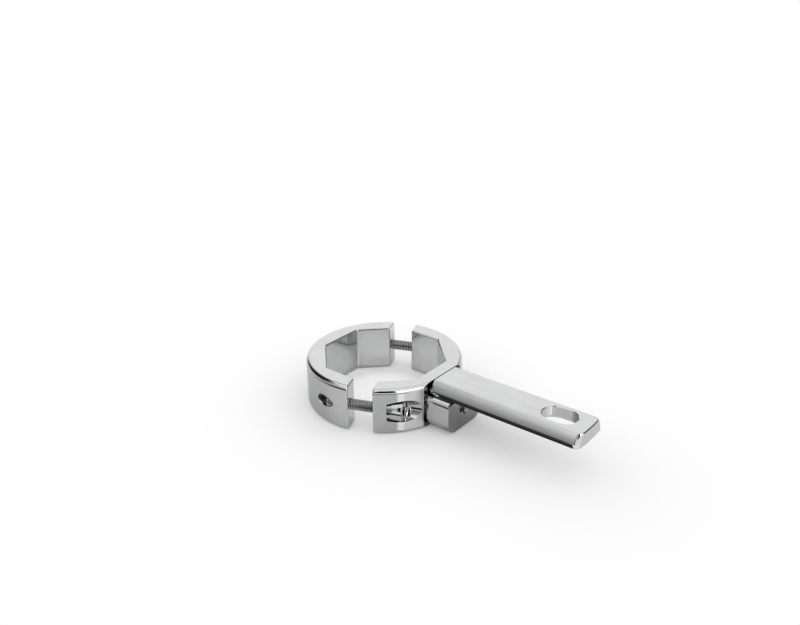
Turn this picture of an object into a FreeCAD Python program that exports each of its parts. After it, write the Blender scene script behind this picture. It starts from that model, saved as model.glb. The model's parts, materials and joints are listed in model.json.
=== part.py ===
import FreeCAD, Part
import math
import os

os.makedirs("parts", exist_ok=True)

V = FreeCAD.Vector

# All sizes in millimetres. The bore's centre line is the Z axis and the ring rests on z = 0.
# The lamp arm runs along +X.

# Two half rings, cut from one ring with an eight-sided bore.
ring_radius = 41.9
ring_height = 25.0
wall_at_flats = 10.65
bore_corner_radius = 1.0
rim_rounding = 2.2
bore_edge_rounding = 1.0
jaw_gap = 13.0
jaw_edge_rounding = 0.9
bolt_turn = 22.5

# Two clamp bolts, M6 by 35, with sunk round heads and split washers.
bolt_inset = 5.9
bolt_radius = 3.0
bolt_length = 35.0
bolt_head_radius = 5.0
bolt_head_height = 6.0
bolt_hex_across = 5.0
bolt_hex_depth = 3.0
bolt_hole_radius = 3.3
bolt_thread_fit = 0.06
pocket_radius = 6.0
jaw_thickness = 7.0
seat_clearance = 0.05
washer_radius = 4.7
washer_hole_radius = 3.3
washer_thickness = 1.8
washer_split = 0.9

# The flat that the arm sits on, with its ring of teeth.
pad_inset = 3.0
teeth = 24
tooth_depth = 0.5
tooth_clearance = 0.1
tooth_inner_radius = 7.0
tooth_outer_radius = 14.8

# The arm: a hub with well rounded lower edges, a low neck, and a flat bar with a slot near its end.
# The bar is widest at its underside. Its sides lean out and curve down to it in two arcs.
# It starts a little behind the hub's toothed face. The slot opens out below.
hub_half_width = 14.8
hub_length = 13.4
hub_lift = 0.3
hub_low_rounding = 7.0
hub_high_rounding = 2.2
neck_height = 0.6
bar_width = 24.1
bar_thickness = 7.0
bar_proud = 0.9
bar_set_back = 0.35
side_radius = 16.0
side_low_radius = 7.5
side_low_angle = 88.0
side_change_angle = 72.0
bar_top_rounding = 1.0
bar_corner_rounding = 3.0
bar_length = 82.3
bar_end_radius = 120.0
bar_edge_break = 0.25
hub_fillet = 1.6
slot_inset = 16.45
slot_length = 17.6
slot_width = 13.0
slot_edge_break = 0.3
slot_low_edge_break = 1.9

# The pivot screw, M8 by 20 with a flush head, put in from inside the bore.
screw_radius = 4.0
screw_length = 20.0
screw_head_radius = 7.8
screw_head_edge = 0.3
screw_hex_across = 5.0
screw_hex_depth = 2.6
screw_hole_radius = 4.3
screw_thread_fit = 0.06
cone_fit = 0.07
screw_sink = 0.15
thread_mouth_radius = 5.2

middle = ring_height / 2
bore_flat = ring_radius - wall_at_flats
bolt_offset = ring_radius - bolt_inset
pad_distance = ring_radius - pad_inset
along_bolts = V(math.cos(math.radians(bolt_turn)), math.sin(math.radians(bolt_turn)), 0)
across_bolts = V(-along_bolts.y, along_bolts.x, 0)
X = V(1, 0, 0)
Z = V(0, 0, 1)


def at(u, w, z):
    """Point given by its distance along the bolts, across them and up."""
    return along_bolts * u + across_bolts * w + V(0, 0, z)


def rod(radius, start, end):
    """Round rod between two points."""
    run = end - start
    return Part.makeCylinder(radius, run.Length, start, run)


def cone(radius_start, radius_end, start, end):
    """Tapered rod between two points."""
    run = end - start
    return Part.makeCone(radius_start, radius_end, run.Length, start, run)


def prism(points, run):
    """Solid swept from a closed outline."""
    wire = Part.makePolygon(points + [points[0]])
    return Part.Face(wire).extrude(run)


def six_sided(across, centre, axis, side, run):
    """Six-sided key hole cutter."""
    corner = across / math.sqrt(3)
    other = axis.cross(side)
    points = []
    for step in range(6):
        turn = math.radians(60 * step)
        points.append(centre + side * (corner * math.cos(turn)) + other * (corner * math.sin(turn)))
    return prism(points, run)


def edges_where(shape, test):
    """Edges whose two ends and middle all pass the test."""
    found = []
    for edge in shape.Edges:
        first = edge.valueAt(edge.FirstParameter)
        half = edge.valueAt((edge.FirstParameter + edge.LastParameter) / 2)
        last = edge.valueAt(edge.LastParameter)
        if test(first) and test(half) and test(last):
            found.append(edge)
    return found


def near(a, b):
    return abs(a - b) < 0.01


def flat_distance(point):
    return math.hypot(point.x, point.y)


def tooth_grooves(plane_x, into, phase):
    """Radial V grooves around the pivot line, deepening outwards, as cutters with flat sides."""
    cutters = []
    reach = tooth_outer_radius + 3
    depth = tooth_depth * reach / tooth_outer_radius
    half = reach * math.tan(math.pi / teeth)
    apex = V(plane_x, 0, middle)
    for index in range(teeth):
        turn = math.radians((index + phase) * 360 / teeth)
        ray = V(0, math.cos(turn), math.sin(turn))
        side = V(0, -math.sin(turn), math.cos(turn))
        bottom = apex + ray * reach + X * (into * depth)
        left = bottom + (side * half - X * (into * depth)) * 1.2
        right = bottom - (side * half + X * (into * depth)) * 1.2
        faces = []
        corners = ((apex, bottom, left), (apex, right, bottom), (apex, left, right), (bottom, right, left))
        for three in corners:
            faces.append(Part.Face(Part.makePolygon(list(three) + [three[0]])))
        cutters.append(Part.Solid(Part.Shell(faces)))
    return cutters


def tooth_crown(start_x, end_x, into, phase):
    """Flat ring with radial teeth on one face: the right one for into = -1, the left one for 1."""
    crown = rod(tooth_outer_radius, V(start_x, 0, middle), V(end_x, 0, middle))
    crown = crown.cut(rod(tooth_inner_radius, V(start_x - 1, 0, middle), V(end_x + 1, 0, middle)))
    face_x = end_x if into < 0 else start_x
    for groove in tooth_grooves(face_x, into, phase):
        crown = crown.cut(groove)
    return crown


# The whole ring, before it is cut in two.
ring = Part.makeCylinder(ring_radius, ring_height)
bore_points = []
for step in range(8):
    turn = math.radians(22.5 + 45 * step)
    reach = bore_flat / math.cos(math.pi / 8)
    bore_points.append(V(reach * math.cos(turn), reach * math.sin(turn), -1))
bore = prism(bore_points, V(0, 0, ring_height + 2))
upright = [edge for edge in bore.Edges if near(abs(edge.tangentAt(edge.FirstParameter).z), 1)]
bore = bore.makeFillet(bore_corner_radius, upright)
ring = ring.cut(bore)


def on_end_face(point):
    return near(point.z, 0) or near(point.z, ring_height)


rims = edges_where(ring, lambda p: on_end_face(p) and near(flat_distance(p), ring_radius))
ring = ring.makeFillet(rim_rounding, rims)
inner = edges_where(ring, lambda p: on_end_face(p) and flat_distance(p) < bore_flat + 3)
ring = ring.makeFillet(bore_edge_rounding, inner)

# The flat for the arm.
pad_cut = Part.makeBox(ring_radius, 2 * ring_radius, ring_height + 2, V(pad_distance, -ring_radius, -1))
ring = ring.cut(pad_cut)

# The gap that parts the ring, square to the bolts.
jaw = jaw_gap / 2
clear = ring_radius + 5
corners = [at(-jaw, -clear, -1), at(jaw, -clear, -1), at(jaw, clear, -1), at(-jaw, clear, -1)]
slab = prism(corners, V(0, 0, ring_height + 2))
halves = ring.cut(slab).Solids
halves.sort(key=lambda s: s.CenterOfMass.dot(along_bolts))
outer_half = halves[0]
arm_half = halves[1]


def jaw_edges(shape, sign):
    return edges_where(shape, lambda p: near(p.dot(along_bolts), sign * jaw))


outer_half = outer_half.makeFillet(jaw_edge_rounding, jaw_edges(outer_half, -1))
arm_half = arm_half.makeFillet(jaw_edge_rounding, jaw_edges(arm_half, 1))

seat = jaw + jaw_thickness
for side in (-1, 1):
    offset = side * bolt_offset
    hole = rod(bolt_hole_radius, at(0, offset, middle), at(seat + 1, offset, middle))
    pocket = rod(pocket_radius, at(seat, offset, middle), at(seat + 30, offset, middle))
    arm_half = arm_half.cut(hole).cut(pocket)
    thread = rod(bolt_radius + bolt_thread_fit, at(0, offset, middle), at(-30, offset, middle))
    outer_half = outer_half.cut(thread)

# A ring of teeth stands on the flat.
pad_crown = tooth_crown(pad_distance - 0.5, pad_distance + tooth_depth, -1, 0.5)
pad_slice = Part.makeBox(10, 2 * tooth_outer_radius, ring_height - 2 * hub_lift,
                         V(pad_distance - 4, -tooth_outer_radius, hub_lift))
arm_half = arm_half.fuse(pad_crown.common(pad_slice)).removeSplitter()
arm_half = arm_half.cut(rod(screw_hole_radius, V(bore_flat - 5, 0, middle), V(pad_distance + 1, 0, middle)))

# The screw's head sits in a cone of 90 degrees, a little below the bore's flat.
head_top = bore_flat + screw_sink
cone_start = head_top + screw_head_edge
cone_end = cone_start + screw_head_radius - screw_radius
fit = cone_fit * math.sqrt(2)
wide = screw_head_radius + fit + 3
sink = cone(wide, screw_radius + fit, V(cone_start - 3, 0, middle), V(cone_end, 0, middle))
mouth = rod(screw_head_radius + 0.3, V(bore_flat - 5, 0, middle), V(cone_start, 0, middle))
arm_half = arm_half.cut(sink.common(mouth.fuse(rod(wide, V(cone_start, 0, middle), V(cone_end, 0, middle)))))
arm_half = arm_half.cut(mouth)

# The arm's hub, below a neck that carries the bar.
root = pad_distance + tooth_clearance + 2 * tooth_depth
hub_end = root + hub_length
bar_end = root + bar_length
slot_centre = bar_end - slot_inset
bar_top = ring_height + bar_proud
underside = bar_top - bar_thickness
shoulder = underside - neck_height
half_width = bar_width / 2
hub = Part.makeBox(hub_end - root, 2 * hub_half_width, shoulder - hub_lift, V(root, -hub_half_width, hub_lift))


def hub_edges(shape, height):
    return edges_where(shape, lambda p: near(p.z, height) and near(abs(p.y), hub_half_width))


hub = hub.makeFillet(hub_low_rounding, hub_edges(hub, hub_lift))
hub = hub.makeFillet(hub_high_rounding, hub_edges(hub, shoulder))
neck_half = half_width - 2 * bar_edge_break
neck = Part.makeBox(hub_end - root, 2 * neck_half, 2 * neck_height, V(root, -neck_half, shoulder - neck_height))

# Outline of the bar across its length. Angles of a side are of its slope: 0 is level and 90 upright.
low_angle = math.radians(side_low_angle)
change_angle = math.radians(side_change_angle)


def on_arc(centre, radius, angle):
    return centre + V(0, radius * math.sin(angle), radius * math.cos(angle))


low_corner = V(root + bar_set_back, half_width, underside)
low_centre = low_corner - on_arc(V(0, 0, 0), side_low_radius, low_angle)
change = on_arc(low_centre, side_low_radius, change_angle)
high_centre = change - on_arc(V(0, 0, 0), side_radius, change_angle)
high_angle = math.acos((bar_top - high_centre.z) / side_radius)
high_corner = on_arc(high_centre, side_radius, high_angle)


def mirrored(point):
    return V(point.x, -point.y, point.z)


low_middle = on_arc(low_centre, side_low_radius, (low_angle + change_angle) / 2)
high_middle = on_arc(high_centre, side_radius, (high_angle + change_angle) / 2)
outline = [
    Part.makeLine(mirrored(low_corner), low_corner),
    Part.Arc(low_corner, low_middle, change).toShape(),
    Part.Arc(change, high_middle, high_corner).toShape(),
    Part.makeLine(high_corner, mirrored(high_corner)),
    Part.Arc(mirrored(high_corner), mirrored(high_middle), mirrored(change)).toShape(),
    Part.Arc(mirrored(change), mirrored(low_middle), mirrored(low_corner)).toShape(),
]
bar = Part.Face(Part.Wire(outline)).extrude(X * (bar_end + 5 - root))
bow = Part.makeCylinder(bar_end_radius, 2 * ring_height, V(bar_end - bar_end_radius, 0, 0))
bar = bar.common(bow)


def is_tip_corner(edge):
    middle_point = edge.valueAt((edge.FirstParameter + edge.LastParameter) / 2)
    return middle_point.x > bar_end - 2 and abs(middle_point.y) > high_corner.y and edge.BoundBox.ZLength > 1


bar = bar.makeFillet(bar_corner_rounding, [edge for edge in bar.Edges if is_tip_corner(edge)])
top_edges = edges_where(bar, lambda p: near(p.z, bar_top) and p.x > root - 1)
bar = bar.makeFillet(bar_top_rounding, [edge for edge in top_edges if edge.BoundBox.XMax > root + 1])
low_edges = edges_where(bar, lambda p: near(p.z, underside))
bar = bar.makeChamfer(bar_edge_break, [edge for edge in low_edges if edge.BoundBox.XMax > root + 1])

# The hollow curve under the bar where it leaves the hub.
curve_z = underside - hub_fillet
web = Part.makeBox(hub_fillet, 2 * neck_half, hub_fillet, V(hub_end, -neck_half, curve_z))
web = web.cut(rod(hub_fillet, V(hub_end + hub_fillet, -hub_half_width, curve_z),
                  V(hub_end + hub_fillet, hub_half_width, curve_z)))
arm = bar.fuse(neck).fuse(hub).fuse(web).removeSplitter()

# Teeth on the hub's root.
crown = tooth_crown(root - tooth_depth, root + 0.5, 1, 0.0)
neck_slice = Part.makeBox(10, 2 * neck_half, ring_height - hub_lift - shoulder, V(root - 3, -neck_half, shoulder))
arm = arm.fuse(crown.common(hub.translated(X * -3).fuse(neck_slice))).removeSplitter()

# The threaded hole through the hub, with an opened mouth.
arm = arm.cut(rod(screw_radius + screw_thread_fit, V(root - 2, 0, middle), V(hub_end + 1, 0, middle)))
mouth_depth = thread_mouth_radius - screw_radius
arm = arm.cut(cone(screw_radius, thread_mouth_radius + 0.2, V(hub_end - mouth_depth, 0, middle),
                   V(hub_end + 0.2, 0, middle)))

# The slot near the end of the bar.
slot_half = slot_length / 2 - slot_width / 2
slot_ends = [slot_centre - slot_half, slot_centre + slot_half]
slot = Part.makeBox(2 * slot_half, slot_width, 40, V(slot_ends[0], -slot_width / 2, 0))
for end in slot_ends:
    slot = slot.fuse(Part.makeCylinder(slot_width / 2, 40, V(end, 0, 0)))
slot = slot.removeSplitter()
arm = arm.cut(slot)


def by_slot(point):
    return abs(point.x - slot_centre) < slot_length / 2 + 0.1 and abs(point.y) < slot_width / 2 + 0.1


arm = arm.makeChamfer(slot_edge_break, edges_where(arm, lambda p: by_slot(p) and near(p.z, bar_top)))
arm = arm.makeChamfer(slot_low_edge_break, edges_where(arm, lambda p: by_slot(p) and near(p.z, underside)))


def clamp_bolt(offset):
    """One clamp bolt, its head against the seat of the arm's half."""
    start = seat + 2 * seat_clearance + washer_thickness
    tip = start - bolt_length
    shank = rod(bolt_radius, at(start, offset, middle), at(tip + 0.8, offset, middle))
    point = cone(bolt_radius, bolt_radius - 0.8, at(tip + 0.8, offset, middle), at(tip, offset, middle))
    head = rod(bolt_head_radius, at(start, offset, middle), at(start + bolt_head_height, offset, middle))
    top = at(start + bolt_head_height, offset, middle)
    rim = edges_where(head, lambda p: near(p.dot(along_bolts), start + bolt_head_height))
    head = head.makeFillet(0.5, rim)
    bolt = head.fuse(shank).fuse(point).removeSplitter()
    key = six_sided(bolt_hex_across, top + along_bolts, along_bolts, Z, along_bolts * (-bolt_hex_depth - 1))
    return bolt.cut(key)


def split_washer(offset):
    """Spring washer under a bolt's head, cut through on one side."""
    start = at(seat + seat_clearance, offset, middle)
    end = at(seat + seat_clearance + washer_thickness, offset, middle)
    hole = rod(washer_hole_radius, start - along_bolts, end + along_bolts)
    washer = rod(washer_radius, start, end).cut(hole)
    outward = across_bolts * (1 if offset > 0 else -1)
    low = start + outward * 2 - along_bolts - Z * (washer_split / 2 + 0.7)
    high = low + along_bolts * (washer_thickness + 2) + Z * 1.4
    cut = prism([low, low + Z * washer_split, high + Z * washer_split, high], outward * 6)
    washer = washer.cut(cut)
    return washer


front_bolt = clamp_bolt(-bolt_offset)
back_bolt = clamp_bolt(bolt_offset)
front_washer = split_washer(-bolt_offset)
back_washer = split_washer(bolt_offset)

# The pivot screw.
tip = head_top + screw_length
screw = rod(screw_head_radius, V(head_top, 0, middle), V(cone_start, 0, middle))
screw = screw.fuse(cone(screw_head_radius, screw_radius, V(cone_start, 0, middle), V(cone_end, 0, middle)))
screw = screw.fuse(rod(screw_radius, V(cone_end - 0.01, 0, middle), V(tip - 1, 0, middle)))
point = cone(screw_radius, screw_radius - 1, V(tip - 1, 0, middle), V(tip, 0, middle))
screw = screw.fuse(point).removeSplitter()
screw = screw.cut(six_sided(screw_hex_across, V(head_top - 1, 0, middle), X, Z, X * (screw_hex_depth + 1)))

parts = {}
parts["arm_half_ring"] = arm_half
parts["outer_half_ring"] = outer_half
parts["clamp_bolt_front"] = front_bolt
parts["clamp_bolt_back"] = back_bolt
parts["split_washer_front"] = front_washer
parts["split_washer_back"] = back_washer
parts["lamp_arm"] = arm
parts["pivot_screw"] = screw

for name, shape in parts.items():
    if shape.ShapeType == "Compound" and len(shape.Solids) == 1:
        shape = shape.Solids[0]
    box = shape.BoundBox
    print(name, shape.ShapeType, len(shape.Solids), shape.isValid(), round(shape.Volume, 1),
          [round(v, 2) for v in (box.XMin, box.XMax, box.YMin, box.YMax, box.ZMin, box.ZMax)])
    shape.exportStep("parts/" + name + ".step")
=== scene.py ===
import json
import math

import bmesh
import bpy
from mathutils import Matrix, Vector


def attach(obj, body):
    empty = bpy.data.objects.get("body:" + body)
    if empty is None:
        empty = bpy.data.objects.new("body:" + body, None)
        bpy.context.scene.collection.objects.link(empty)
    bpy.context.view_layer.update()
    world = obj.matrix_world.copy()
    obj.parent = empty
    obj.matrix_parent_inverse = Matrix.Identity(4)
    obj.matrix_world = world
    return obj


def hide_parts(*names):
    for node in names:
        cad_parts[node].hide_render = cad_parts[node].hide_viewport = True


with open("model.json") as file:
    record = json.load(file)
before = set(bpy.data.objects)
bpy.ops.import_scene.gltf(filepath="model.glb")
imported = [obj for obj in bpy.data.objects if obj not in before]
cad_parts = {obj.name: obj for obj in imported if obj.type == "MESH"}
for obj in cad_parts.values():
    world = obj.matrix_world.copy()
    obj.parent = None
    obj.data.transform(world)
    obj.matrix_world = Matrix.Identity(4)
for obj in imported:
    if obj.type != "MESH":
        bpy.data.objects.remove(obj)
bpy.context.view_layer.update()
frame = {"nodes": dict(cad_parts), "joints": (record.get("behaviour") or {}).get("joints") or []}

# Camera. It looks down on the bracket from beyond the front bolt, the arm running off to the right.
# The focal length is in pixels of the 800 by 625 picture, and the aim is the middle of the ring.
picture_width = 800
picture_height = 625
focal_pixels = 791
camera_turn = math.radians(39.04)
camera_height = math.radians(23.75)
camera_roll = math.radians(-0.34)
camera_distance = 0.4316
camera_aim = Vector((0, 0, 0.01267))
aim_pixel_x = 384.6
aim_pixel_y = 373.0
film_width = 36

level_right = Vector((math.cos(camera_turn), math.sin(camera_turn), 0))
level_front = Vector((math.sin(camera_turn), -math.cos(camera_turn), 0))
camera_back = level_front * math.cos(camera_height) + Vector((0, 0, math.sin(camera_height)))
level_up = camera_back.cross(level_right)
camera_right = level_right * math.cos(camera_roll) + level_up * math.sin(camera_roll)
camera_up = camera_back.cross(camera_right)
per_pixel = camera_distance / focal_pixels
aside = camera_right * ((picture_width / 2 - aim_pixel_x) * per_pixel)
above = camera_up * ((aim_pixel_y - picture_height / 2) * per_pixel)
camera_place = camera_aim + camera_back * camera_distance + aside + above

camera = bpy.data.objects.new("camera", bpy.data.cameras.new("camera"))
bpy.context.scene.collection.objects.link(camera)
camera.data.sensor_width = film_width
camera.data.lens = film_width * focal_pixels / picture_width
camera.data.clip_start = 0.01
camera.matrix_world = Matrix.Translation(camera_place) @ Matrix((
    camera_right, camera_up, camera_back)).transposed().to_4x4()
bpy.context.scene.camera = camera

# Room. A photographer's studio of pale screens and dark cloths, with a bright window at the near right
# and light again overhead. Only what the metal mirrors sees it. All else sees plain white.
studio = bpy.data.worlds.new("studio")
bpy.context.scene.world = studio
studio.use_nodes = True
tree = studio.node_tree
tree.nodes.clear()


def add_node(kind, **values):
    """A node in the tree at hand with some of its settings."""
    node = tree.nodes.new(kind)
    for name, value in values.items():
        setattr(node, name, value)
    return node


def number_node(operation, first, second=None):
    """One step of arithmetic on links or plain numbers."""
    node = add_node("ShaderNodeMath", operation=operation)
    for socket, value in zip(node.inputs, (first, second)):
        if isinstance(value, (int, float)):
            socket.default_value = value
        elif value is not None:
            tree.links.new(value, socket)
    return node.outputs[0]


def product_node(first, *others):
    """The product of links or plain numbers."""
    for other in others:
        first = number_node("MULTIPLY", first, other)
    return first


def ramp_node(source, low, high, start=0.0, end=1.0, smooth=True):
    """A ramp of a number: start up to low, end from high on."""
    ramp = add_node("ShaderNodeMapRange", interpolation_type="SMOOTHSTEP" if smooth else "LINEAR")
    tree.links.new(source, ramp.inputs["Value"])
    for name, value in (("From Min", low), ("From Max", high), ("To Min", start), ("To Max", end)):
        if isinstance(value, (int, float)):
            ramp.inputs[name].default_value = value
        else:
            tree.links.new(value, ramp.inputs[name])
    return ramp.outputs["Result"]


def fall_node(source, low, high):
    """1 up to low, 0 from high on."""
    return ramp_node(source, low, high, 1.0, 0.0)


def band_node(source, low, full_from, full_to, high):
    """1 from full_from to full_to, 0 below low and above high."""
    return product_node(ramp_node(source, low, full_from), fall_node(source, full_to, high))


def mix_node(factor, first, second):
    """A mix of two colours, each a grey level, a colour or a link."""
    mix = add_node("ShaderNodeMix", data_type="RGBA")
    tree.links.new(factor, mix.inputs["Factor"])
    for name, value in (("A", first), ("B", second)):
        if isinstance(value, (int, float)):
            mix.inputs[name].default_value = (value, value, value, 1)
        elif isinstance(value, tuple):
            mix.inputs[name].default_value = value
        else:
            tree.links.new(value, mix.inputs[name])
    return mix.outputs["Result"]


# The walls, going round: direction in degrees from +X, then tone at the foot, at knee height, at eye
# height and at the top. A height is the upward part of a direction: 0 is level and 1 straight up.
walls = (
    # Black cloth on the left.
    (-180, 0.15, 0.02, 0.01, 0.02),
    (-162, 0.25, 0.05, 0.01, 0.04),
    (-149, 0.45, 0.12, 0.03, 0.08),
    # Grey screen at the front left, paler in the middle.
    (-136, 0.30, 0.35, 0.50, 0.60),
    (-112, 0.28, 0.50, 0.90, 0.95),
    (-96, 0.25, 0.45, 0.80, 0.80),
    (-88, 0.15, 0.15, 0.25, 0.60),
    (-81, 0.15, 0.15, 0.25, 0.50),
    # Low white table in front, dark above.
    (-75, 0.90, 0.90, 0.60, 0.50),
    (-56, 0.85, 0.80, 0.30, 0.10),
    (-40, 0.75, 0.70, 0.30, 0.10),
    (-33, 0.75, 0.80, 0.70, 0.70),
    # White wall around the window and its lit curtain, at the near right.
    (-26, 1.00, 1.00, 1.00, 1.00),
    (6, 0.60, 0.90, 1.00, 0.90),
    # Dark doorway at the far right.
    (30, 0.65, 0.20, 0.40, 0.50),
    (52, 0.65, 0.12, 0.03, 0.05),
    (69, 0.30, 0.02, 0.02, 0.03),
    # White wall behind, as far as the black cloth.
    (78, 0.30, 0.35, 0.50, 0.50),
    (111.5, 0.80, 0.95, 0.97, 0.80),
    (139, 1.00, 1.00, 0.97, 0.40),
    (157, 0.90, 0.85, 0.60, 0.10),
    (165, 0.30, 0.03, 0.01, 0.02),
)
foot_height = 0.05
knee_height = 0.28
eye_height = 0.52
top_height = 0.74
overhead_tone = 0.95
overhead_from = 0.75
overhead_full = 0.81
window_strength = 4.0
curtain_strength = 1.6
unlit_tone = 0.01

way = add_node("ShaderNodeSeparateXYZ")
tree.links.new(add_node("ShaderNodeTexCoord").outputs["Generated"], way.inputs[0])
compass = number_node("ARCTAN2", way.outputs["Y"], way.outputs["X"])
height = way.outputs["Z"]
around = add_node("ShaderNodeValToRGB")
tree.links.new(ramp_node(compass, -math.pi, math.pi, smooth=False), around.inputs["Fac"])
stops = around.color_ramp.elements
while len(stops) < len(walls):
    stops.new(0.5)
for stop, wall in zip(stops, walls):
    stop.position = (wall[0] + 180) / 360
    stop.color = wall[1:]
tones = add_node("ShaderNodeSeparateColor")
tree.links.new(around.outputs["Color"], tones.inputs[0])
mirrored = tones.outputs["Red"]
rises = ((foot_height, knee_height, tones.outputs["Green"]),
         (knee_height, eye_height, tones.outputs["Blue"]),
         (eye_height, top_height, around.outputs["Alpha"]),
         (overhead_from, overhead_full, overhead_tone))
for low, high, tone in rises:
    mirrored = ramp_node(height, low, high, mirrored, tone, smooth=False)


def screen(middle, full_half, edge_half, rise):
    """An upright patch of the room with soft edges, in degrees and heights: 1 inside it and 0 outside."""
    beside = number_node("ABSOLUTE", number_node("ADD", compass, math.radians(-middle)))
    return product_node(fall_node(beside, math.radians(full_half), math.radians(edge_half)),
                        band_node(height, *rise))


window = screen(middle=-28, full_half=5, edge_half=8, rise=(0.28, 0.34, 0.66, 0.74))
curtain = screen(middle=-8, full_half=12, edge_half=20, rise=(0.28, 0.34, 0.66, 0.74))
behind_camera = screen(middle=-48, full_half=14, edge_half=18, rise=(0.26, 0.34, 0.90, 0.94))
glow = number_node("MAXIMUM", product_node(window, window_strength),
                   product_node(curtain, curtain_strength))
mirrored = number_node("ADD", mirrored, glow)
mirrored = product_node(mirrored, ramp_node(behind_camera, 0.0, 1.0, 1.0, unlit_tone, smooth=False))
light_path = add_node("ShaderNodeLightPath")
background = add_node("ShaderNodeBackground")
tree.links.new(mix_node(light_path.outputs["Is Glossy Ray"], 1.0, mirrored), background.inputs["Color"])
world_output = add_node("ShaderNodeOutputWorld")
tree.links.new(background.outputs[0], world_output.inputs["Surface"])
bpy.context.scene.view_settings.view_transform = "Standard"

# Floor. A sheet of white board with a soft shadow under the bracket. The metal sees it as glossy and
# light grey, with painted light and shade: paler at the right and at the back, a painted shadow under
# the arm, painted light inside the bore, a painted bright strip at the right front, and painted black
# at the front where it is seen at a slant.
floor_size = 4.0
floor_height = -0.0002
board_tone = 0.97
grey_tone = 0.66
right_tone = 0.80
pale_tone = 0.95
white_tone = 1.0
arm_shadow_tone = 0.45
front_tone = 0.005
gloss_share = 0.12
ring_outside = 0.042
arm_start = 0.03
arm_end = 0.122
arm_half_width = 0.012
# Where each tone softly sets in or ends, in metres from under the ring's middle.
right_from = (0.112, 0.126)
back_from = (0.06, 0.09)
far_left_until = (-0.14, -0.10)
bore_until = (-0.016, -0.010)
under_arm_length = (0.045, 0.05, 0.08, 0.09)
under_arm_side = (0.016, 0.024)
bright_from = (0.132, 0.136)
bright_until_north = (-0.035, -0.025)
dark_from = (-0.04, -0.03)
dark_until = (0.128, 0.132)
dark_until_north = (-0.045, -0.040)
bore_light_edge = (-0.024, -0.011)
shadow_reach = 0.075
# How much white is mixed in at the darkest place, and how slanting a ray is that sees black, up to 1.
shadow_white_share = 0.15
bore_white_share = 0.5
slanting_from = (0.535, 0.56)

floor_mesh = bmesh.new()
bmesh.ops.create_grid(floor_mesh, x_segments=1, y_segments=1, size=floor_size / 2)
floor_data = bpy.data.meshes.new("floor")
floor_mesh.to_mesh(floor_data)
floor_mesh.free()
floor = bpy.data.objects.new("floor", floor_data)
bpy.context.scene.collection.objects.link(floor)
floor.location.z = floor_height


def new_finish(name):
    """An empty procedural material."""
    finish = bpy.data.materials.new(name)
    finish.use_nodes = True
    return finish


board = new_finish("white_board")
floor_data.materials.append(board)
tree = board.node_tree
board_look = tree.nodes["Principled BSDF"]
board_look.inputs["Roughness"].default_value = 0.6
board_look.inputs["Specular IOR Level"].default_value = 0.1
spot = add_node("ShaderNodeTexCoord").outputs["Object"]


def reach_node(point):
    """The length of a vector."""
    reach = add_node("ShaderNodeVectorMath", operation="LENGTH")
    tree.links.new(point, reach.inputs[0])
    return reach.outputs["Value"]


def towards(degrees):
    """Distance from the middle of the floor in one compass direction."""
    dot = add_node("ShaderNodeVectorMath", operation="DOT_PRODUCT")
    tree.links.new(spot, dot.inputs[0])
    dot.inputs[1].default_value = (math.cos(math.radians(degrees)), math.sin(math.radians(degrees)), 0)
    return dot.outputs["Value"]


east = towards(0)
north = towards(90)
right_front = towards(-24)
from_ring = number_node("SUBTRACT", reach_node(spot), ring_outside)
along_arm = number_node("MINIMUM", number_node("MAXIMUM", east, arm_start), arm_end)
beside_arm = add_node("ShaderNodeCombineXYZ")
tree.links.new(number_node("SUBTRACT", east, along_arm), beside_arm.inputs["X"])
tree.links.new(north, beside_arm.inputs["Y"])
from_arm = number_node("SUBTRACT", reach_node(beside_arm.outputs[0]), arm_half_width)
away = number_node("MINIMUM", from_ring, from_arm)

# What the metal sees is painted light and shade on the floor, in tones set by place.
metal_sees = mix_node(ramp_node(east, *right_from), grey_tone, right_tone)
metal_sees = mix_node(ramp_node(north, *back_from), metal_sees, white_tone)
metal_sees = mix_node(fall_node(east, *far_left_until), metal_sees, pale_tone)
# Painted light inside the ring's bore.
metal_sees = mix_node(fall_node(from_ring, *bore_until), metal_sees, pale_tone)
# A painted shadow under the arm.
painted_arm_shadow = product_node(band_node(east, *under_arm_length),
                         fall_node(number_node("ABSOLUTE", north), *under_arm_side))
metal_sees = mix_node(painted_arm_shadow, metal_sees, arm_shadow_tone)
# A painted bright strip at the right front.
painted_bright_strip = product_node(ramp_node(right_front, *bright_from), fall_node(north, *bright_until_north))
metal_sees = mix_node(painted_bright_strip, metal_sees, white_tone)
# Painted black at the front, where the metal sees the floor at a slant.
at_a_slant = ramp_node(add_node("ShaderNodeLayerWeight").outputs["Facing"], *slanting_from)
painted_dark_front = product_node(ramp_node(towards(-30), *dark_from), fall_node(right_front, *dark_until),
                          fall_node(north, *dark_until_north), at_a_slant)
metal_sees = mix_node(painted_dark_front, metal_sees, front_tone)
light_path = add_node("ShaderNodeLightPath")
is_mirrored = light_path.outputs["Is Glossy Ray"]
tree.links.new(mix_node(is_mirrored, board_tone, metal_sees), board_look.inputs["Base Color"])

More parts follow.
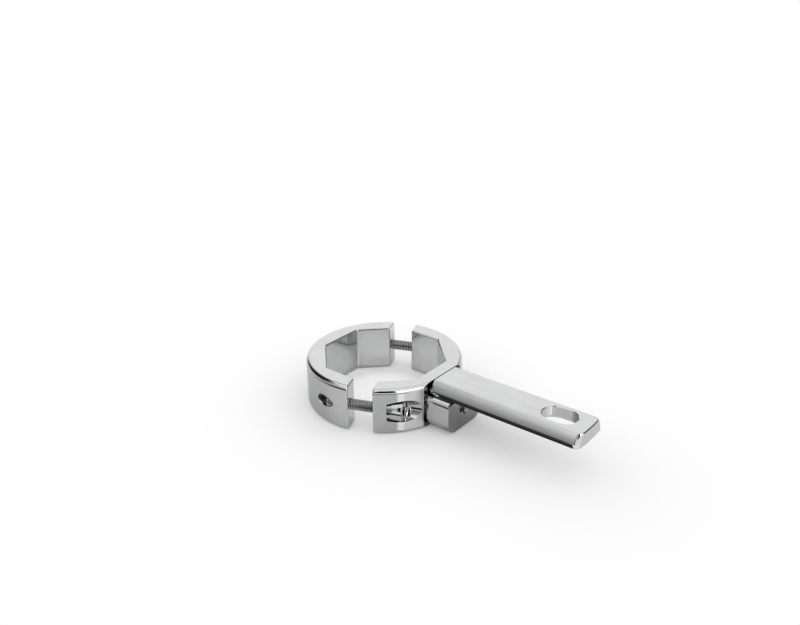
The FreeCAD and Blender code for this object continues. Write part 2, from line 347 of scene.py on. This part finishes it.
# The board's own colour fades to plain white away from the bracket. Inside the ring's bore, half
# white is mixed in as painted light that lifts the shadow there.
plain_white = add_node("ShaderNodeEmission")
plain_white.inputs["Color"].default_value = (1, 1, 1, 1)
outside_fade = ramp_node(away, 0.0, shadow_reach, shadow_white_share, 1.0)
painted_bore_light = ramp_node(from_ring, *bore_light_edge, bore_white_share, 0.0)
fading = product_node(number_node("MAXIMUM", outside_fade, painted_bore_light), light_path.outputs["Is Camera Ray"])
board_mix = add_node("ShaderNodeMixShader")
tree.links.new(fading, board_mix.inputs["Fac"])
tree.links.new(board_look.outputs[0], board_mix.inputs[1])
tree.links.new(plain_white.outputs[0], board_mix.inputs[2])
gloss = add_node("ShaderNodeBsdfGlossy")
gloss.inputs["Roughness"].default_value = 0.05
gloss_mix = add_node("ShaderNodeMixShader")
tree.links.new(product_node(is_mirrored, gloss_share, number_node("SUBTRACT", 1.0, painted_dark_front)),
               gloss_mix.inputs["Fac"])
tree.links.new(board_mix.outputs[0], gloss_mix.inputs[1])
tree.links.new(gloss.outputs[0], gloss_mix.inputs[2])
tree.links.new(gloss_mix.outputs[0], tree.nodes["Material Output"].inputs["Surface"])

# Half rings. Two halves of a split clamp, machined from aluminium bar and chrome plated. The polishing
# wheel leaves faint waves, cloudy patches and fine hairlines. The face behind the toothed joint is
# painted dark grey as the shade between the parts, and nearly black in its upper part as deeper shade.
# Where and how dark the painted shade in the toothed joint lies.
joint_face_from = 0.0387
joint_face_full = 0.0389
joint_shade_from = 0.0225
joint_shade_full = 0.024
joint_shade_grey = 0.32
joint_shade_tone = 0.02


def plated_metal(dark, light, smoothest, roughest, hairline_scale):
    """Polished plating for the tree at hand, its tone and gloss varying in soft clouds and hairlines."""
    surface = tree.nodes["Principled BSDF"]
    surface.inputs["Metallic"].default_value = 1.0
    place = add_node("ShaderNodeTexCoord").outputs["Object"]
    cloud = add_node("ShaderNodeTexNoise")
    cloud.inputs["Scale"].default_value = 70
    cloud.inputs["Detail"].default_value = 3
    tree.links.new(place, cloud.inputs["Vector"])
    stretch = add_node("ShaderNodeMapping")
    stretch.inputs["Scale"].default_value = hairline_scale
    tree.links.new(place, stretch.inputs["Vector"])
    hairline = add_node("ShaderNodeTexNoise")
    hairline.inputs["Scale"].default_value = 1
    hairline.inputs["Detail"].default_value = 2
    tree.links.new(stretch.outputs[0], hairline.inputs["Vector"])
    clouds = product_node(cloud.outputs["Fac"], 0.4)
    hairlines = product_node(hairline.outputs["Fac"], 0.6)
    tone = mix_node(ramp_node(number_node("ADD", clouds, hairlines), 0.3, 0.7), dark, light)
    gloss_change = ramp_node(cloud.outputs["Fac"], 0.3, 0.7, smoothest, roughest)
    tree.links.new(gloss_change, surface.inputs["Roughness"])
    return surface, tone


def along_and_up():
    """Where a spot of metal lies, along the arm from the ring's middle and up from the floor."""
    parts = add_node("ShaderNodeSeparateXYZ")
    tree.links.new(add_node("ShaderNodeTexCoord").outputs["Object"], parts.inputs[0])
    return parts.outputs["X"], parts.outputs["Z"]


def joint_shade_colour(up):
    """Painted shade on the toothed joint: dark grey, nearly black in its upper part."""
    return mix_node(ramp_node(up, joint_shade_from, joint_shade_full), joint_shade_grey, joint_shade_tone)


def dress(finish, *names):
    """Gives a finish to pieces of the frame."""
    for name in names:
        for slot in frame["nodes"][name].material_slots:
            slot.material = finish


chrome = new_finish("chrome_plate")
tree = chrome.node_tree
chrome_look, chrome_tone = plated_metal(
    dark=(0.675, 0.677, 0.68, 1), light=(0.735, 0.737, 0.74, 1), smoothest=0.025, roughest=0.055,
    hairline_scale=(500, 500, 900))
along, up = along_and_up()
joint_face = ramp_node(along, joint_face_from, joint_face_full)
# The face behind the toothed joint gets painted shade.
tree.links.new(mix_node(joint_face, chrome_tone, joint_shade_colour(up)), chrome_look.inputs["Base Color"])
dress(chrome, "arm_half_ring", "outer_half_ring")

# Clamp bolts. Two M6 socket head bolts of plated steel, threaded to the head, which draw the halves
# together. The head is turned with a rounded rim and has a six-sided key hole. The sizes are in
# millimetres, and along the bolt they count from the head's underside.
millimetre = 0.001
weld_distance = 0.0005
cut_tolerance = 0.00001
sharp_from = math.radians(40)
pitch = 1.0
steps_round = 40
root_radius = 2.40
crest_radius = 2.97
crest_rounding = 0.1
shank_length = 35.0
wound_from = -1.5
thread_from = 0.4
thread_until = shank_length - 0.05
tip_taper = 1.0
head_radius = 5.0
head_height = 6.0
head_sides = 48
shank_clearance = 0.3
underside_edge_break = 0.2
rim_rounding = 0.8
rim_shoulder = 0.24
key_across = 5.0
key_depth = 3.0
key_edge_break = 0.25
# Painted shade in the thread's roots.
groove_from = 0.3
groove_gain = 1.6
groove_bright_share = 0.3
groove_shade_tone = 0.06

steel = new_finish("plated_steel")
tree = steel.node_tree
steel_look, steel_tone = plated_metal(
    dark=(0.60, 0.60, 0.605, 1), light=(0.74, 0.74, 0.745, 1), smoothest=0.06, roughest=0.14,
    hairline_scale=(900, 900, 900))
# The thread's roots are darkened with painted shade.
groove_shade = add_node("ShaderNodeAttribute", attribute_name="groove_shade").outputs["Fac"]
tree.links.new(mix_node(groove_shade, steel_tone, groove_shade_tone), steel_look.inputs["Base Color"])


def wound(mesh, profile, start, turns):
    """A surface wound around Z as a right-hand thread, from an open outline of one turn."""
    points = [mesh.verts.new((radius, 0, start + height)) for radius, height in profile]
    lines = [mesh.edges.new(pair) for pair in zip(points, points[1:])]
    bmesh.ops.spin(mesh, geom=points + lines, cent=(0, 0, 0), axis=(0, 0, 1), angle=2 * math.pi * turns,
                   dvec=(0, 0, pitch / steps_round), steps=steps_round * turns)
    bmesh.ops.remove_doubles(mesh, verts=mesh.verts, dist=weld_distance)


def cut_flat(mesh, place, outward):
    """Cuts off what lies beyond a flat and returns the new edges."""
    cut = bmesh.ops.bisect_plane(mesh, geom=mesh.verts[:] + mesh.edges[:] + mesh.faces[:],
                                 dist=cut_tolerance, plane_co=place, plane_no=outward, clear_outer=True)
    return [piece for piece in cut["geom_cut"] if isinstance(piece, bmesh.types.BMEdge)]


def next_ring(mesh, edges, radius, height, six_sided=False):
    """Extrudes a ring of edges to a new size and height, round or six-sided, and returns the new ring."""
    grown = bmesh.ops.extrude_edge_only(mesh, edges=edges)["geom"]
    for vert in (piece for piece in grown if isinstance(piece, bmesh.types.BMVert)):
        turn = math.atan2(vert.co.y, vert.co.x)
        from_flat = (math.degrees(turn) + 30) % 60 - 30
        reach = radius / math.cos(math.radians(from_flat)) if six_sided else radius
        vert.co = (reach * math.cos(turn), reach * math.sin(turn), height)
    return [piece for piece in grown if isinstance(piece, bmesh.types.BMEdge)]


def threaded_shank():
    """The bolt's shank, threaded all along, with a tapered tip."""
    shank = bmesh.new()
    shoulder = crest_radius - crest_rounding
    thread = ((root_radius, 0), (root_radius, 0.12), (shoulder, 0.38), (crest_radius, 0.48),
              (crest_radius, 0.64), (shoulder, 0.74), (root_radius, 1.0))
    wound(shank, thread, wound_from, int(shank_length / pitch) + 2)
    head_end = cut_flat(shank, (0, 0, thread_from), (0, 0, -1))
    tip_end = cut_flat(shank, (0, 0, thread_until), (0, 0, 1))
    for ends in (head_end, tip_end):
        bmesh.ops.contextual_create(shank, geom=ends)
    for vert in shank.verts:
        reach = math.hypot(vert.co.x, vert.co.y)
        most = crest_radius - max(0, vert.co.z - (shank_length - tip_taper))
        if reach > most:
            vert.co.x *= most / reach
            vert.co.y *= most / reach
    return shank


def socket_head():
    """The bolt's head with its key hole."""
    head = bmesh.new()
    bmesh.ops.create_circle(head, segments=head_sides, radius=crest_radius + shank_clearance)
    edges = head.edges[:]
    outline = ((head_radius - underside_edge_break, 0.0), (head_radius, -underside_edge_break),
               (head_radius, -head_height + rim_rounding),
               (head_radius - rim_shoulder, -head_height + rim_shoulder),
               (head_radius - rim_rounding, -head_height))
    for radius, height in outline:
        edges = next_ring(head, edges, radius, height)
    key_hole = ((key_edge_break, -head_height), (0.0, -head_height + key_edge_break),
                (0.0, -head_height + key_depth))
    for widening, height in key_hole:
        edges = next_ring(head, edges, key_across / 2 + widening, height, six_sided=True)
    bmesh.ops.contextual_create(head, geom=edges)
    bmesh.ops.contextual_create(head, geom=[edge for edge in head.edges if edge.is_boundary])
    return head


def painted_groove_shade(point):
    """Painted shade on a bolt: full at the thread's root, none on its crest and on the head."""
    if point.z < groove_from:
        return 0
    below_crest = (crest_radius - math.hypot(point.x, point.y)) / (crest_radius - root_radius)
    return min(1, max(0, groove_gain * below_crest - groove_bright_share))


def finished_piece(name, mesh, place, finish):
    """A mesh in millimetres along its own Z, moved to its place as an object in metres."""
    bmesh.ops.recalc_face_normals(mesh, faces=mesh.faces)
    bmesh.ops.transform(mesh, matrix=place @ Matrix.Scale(millimetre, 4), verts=mesh.verts)
    data = bpy.data.meshes.new(name)
    mesh.to_mesh(data)
    mesh.free()
    data.shade_smooth()
    data.set_sharp_from_angle(angle=sharp_from)
    data.materials.append(finish)
    piece = bpy.data.objects.new(name, data)
    bpy.context.scene.collection.objects.link(piece)
    return piece


def screw_place(joint_name):
    """From a screw's own frame, its head's underside at zero and its tip up Z, to its place."""
    joint = next(joint for joint in frame["joints"] if joint["name"] == joint_name)
    turn = Vector((0, 0, 1)).rotation_difference(Vector(joint["axis"]).normalized())
    return Matrix.Translation(Vector(joint["pos_m"])) @ turn.to_matrix().to_4x4()


bolt_body = threaded_shank()
head_data = bpy.data.meshes.new("head")
socket = socket_head()
socket.to_mesh(head_data)
socket.free()
bolt_body.from_mesh(head_data)
bpy.data.meshes.remove(head_data)
groove_shade_layer = bolt_body.verts.layers.float.new("groove_shade")
for vert in bolt_body.verts:
    vert[groove_shade_layer] = painted_groove_shade(vert.co)
for side in ("front", "back"):
    bolt = finished_piece("screw_" + side, bolt_body.copy(), screw_place(side + "_bolt_turn"), steel)
    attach(bolt, side + "_bolt")
    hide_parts("clamp_bolt_" + side)
bolt_body.free()

# Threads in the outer half. The two holes are tapped right through, so each bolt's thread shows in
# the hole's oval mouth on the ring's outside. Bare metal, painted near black in soft mottles as the
# shade inside the hole.
hole_radius = 3.055
tapped_root = 3.03
tapped_crest = 2.46
tapped_from = 20.0
tapped_turns = 26
gap_face = 22.2
mouth_depth = 0.5
ring_radius = 41.9
bolt_offset = 36.0
ring_middle = Vector((0, 0, 0.0125))

tapped = new_finish("tapped_thread")
tree = tapped.node_tree
tapped_look = tree.nodes["Principled BSDF"]
tapped_look.inputs["Metallic"].default_value = 1.0
thread_noise = add_node("ShaderNodeTexNoise")
tree.links.new(add_node("ShaderNodeTexCoord").outputs["Object"], thread_noise.inputs["Vector"])
thread_noise.inputs["Scale"].default_value = 700
thread_mottle = thread_noise.outputs["Fac"]
# Painted shade: the hole's thread is near black.
tapped_shade_ramp = add_node("ShaderNodeValToRGB")
tapped_shade_ramp.color_ramp.elements[0].color = (0.05, 0.05, 0.05, 1)
tapped_shade_ramp.color_ramp.elements[1].color = (0.2, 0.2, 0.2, 1)
tree.links.new(thread_mottle, tapped_shade_ramp.inputs["Fac"])
tree.links.new(tapped_shade_ramp.outputs["Color"], tapped_look.inputs["Base Color"])
tree.links.new(ramp_node(thread_mottle, 0.0, 1.0, 0.2, 0.4, smooth=False), tapped_look.inputs["Roughness"])

tapped_outline = ((tapped_crest, 0), (tapped_crest, 0.12), (tapped_root, 0.5), (tapped_root, 0.68),
                  (tapped_crest, 1.0))
mouth_rise = math.sqrt(ring_radius ** 2 - bolt_offset ** 2)
for side in ("front", "back"):
    place = screw_place(side + "_bolt_turn")
    liner = bmesh.new()
    wound(liner, tapped_outline, tapped_from, tapped_turns)
    wound(liner, ((hole_radius, 0), (hole_radius, 1.0)), tapped_from, tapped_turns)
    middle = place.inverted() @ ring_middle
    outward = Vector((-middle.x, -middle.y, 0)).normalized()
    mouth_normal = (outward * bolt_offset + Vector((0, 0, mouth_rise))).normalized()
    mouth = Vector((0, 0, middle.z / millimetre + mouth_rise)) - mouth_normal * mouth_depth
    near_end = cut_flat(liner, (0, 0, gap_face), (0, 0, -1))
    far_end = cut_flat(liner, mouth, mouth_normal)
    for ends in (near_end, far_end):
        bmesh.ops.triangle_fill(liner, edges=ends, use_beauty=True, use_dissolve=False)
    piece = finished_piece("tapped_hole_" + side, liner, place, tapped)
    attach(piece, "outer_half")

# Split washers. Spring washers wound from flat steel wire, plated as the bolts are. One sits under each
# bolt's head, inside its pocket.
dress(steel, "split_washer_front", "split_washer_back")

# Lamp arm. Hub, bar and slot are one casting, ground and chrome plated. The wheel runs along the bar and
# leaves hairlines that way. The toothed face is painted dark grey as the shade in the joint, nearly
# black in its upper part, and the neck under the bar and the crease where the bar leaves the hub are
# painted near black as shade.
# Where the painted shade lies on the arm, in metres along and up.
toothed_until = 0.0402
smooth_from = 0.0406
crease_start = (0.0526, 0.0532)
crease_end = (0.0560, 0.0566)
crease_heights = (0.0170, 0.0175, 0.0189, 0.0191)
neck_heights = (0.0183, 0.01835, 0.0189, 0.01895)
crease_shade_tone = 0.03

arm_chrome = new_finish("arm_chrome")
tree = arm_chrome.node_tree
arm_look, arm_tone = plated_metal(
    dark=(0.66, 0.662, 0.665, 1), light=(0.735, 0.737, 0.74, 1), smoothest=0.03, roughest=0.06,
    hairline_scale=(60, 1400, 1400))
along, up = along_and_up()
toothed_face = fall_node(along, toothed_until, smooth_from)
# Painted shade in the crease where the bar leaves the hub and on the neck under the bar.
crease = product_node(band_node(along, *crease_start, *crease_end), band_node(up, *crease_heights))
neck = product_node(fall_node(along, *crease_end), band_node(up, *neck_heights))
painted_crease_and_neck_shade = number_node("MAXIMUM", crease, neck)
# Painted shade on the toothed face.
arm_tone = mix_node(toothed_face, arm_tone, joint_shade_colour(up))
tree.links.new(mix_node(painted_crease_and_neck_shade, arm_tone, crease_shade_tone), arm_look.inputs["Base Color"])
dress(arm_chrome, "lamp_arm")

# Pivot screw. A countersunk screw from inside the bore, which holds the arm's teeth in the ring's. Its
# end shows in the hole in the hub's end, and its steel is painted dark grey as the shade in that hole.
# Dark grey steel: painted shade for the hole in the hub's end.
shaded_screw_steel = new_finish("pivot_screw_shaded")
tree = shaded_screw_steel.node_tree
shaded_screw_look, shaded_screw_tone = plated_metal(
    dark=(0.16, 0.16, 0.165, 1), light=(0.30, 0.30, 0.305, 1), smoothest=0.2, roughest=0.35,
    hairline_scale=(900, 900, 900))
tree.links.new(shaded_screw_tone, shaded_screw_look.inputs["Base Color"])
dress(shaded_screw_steel, "pivot_screw")
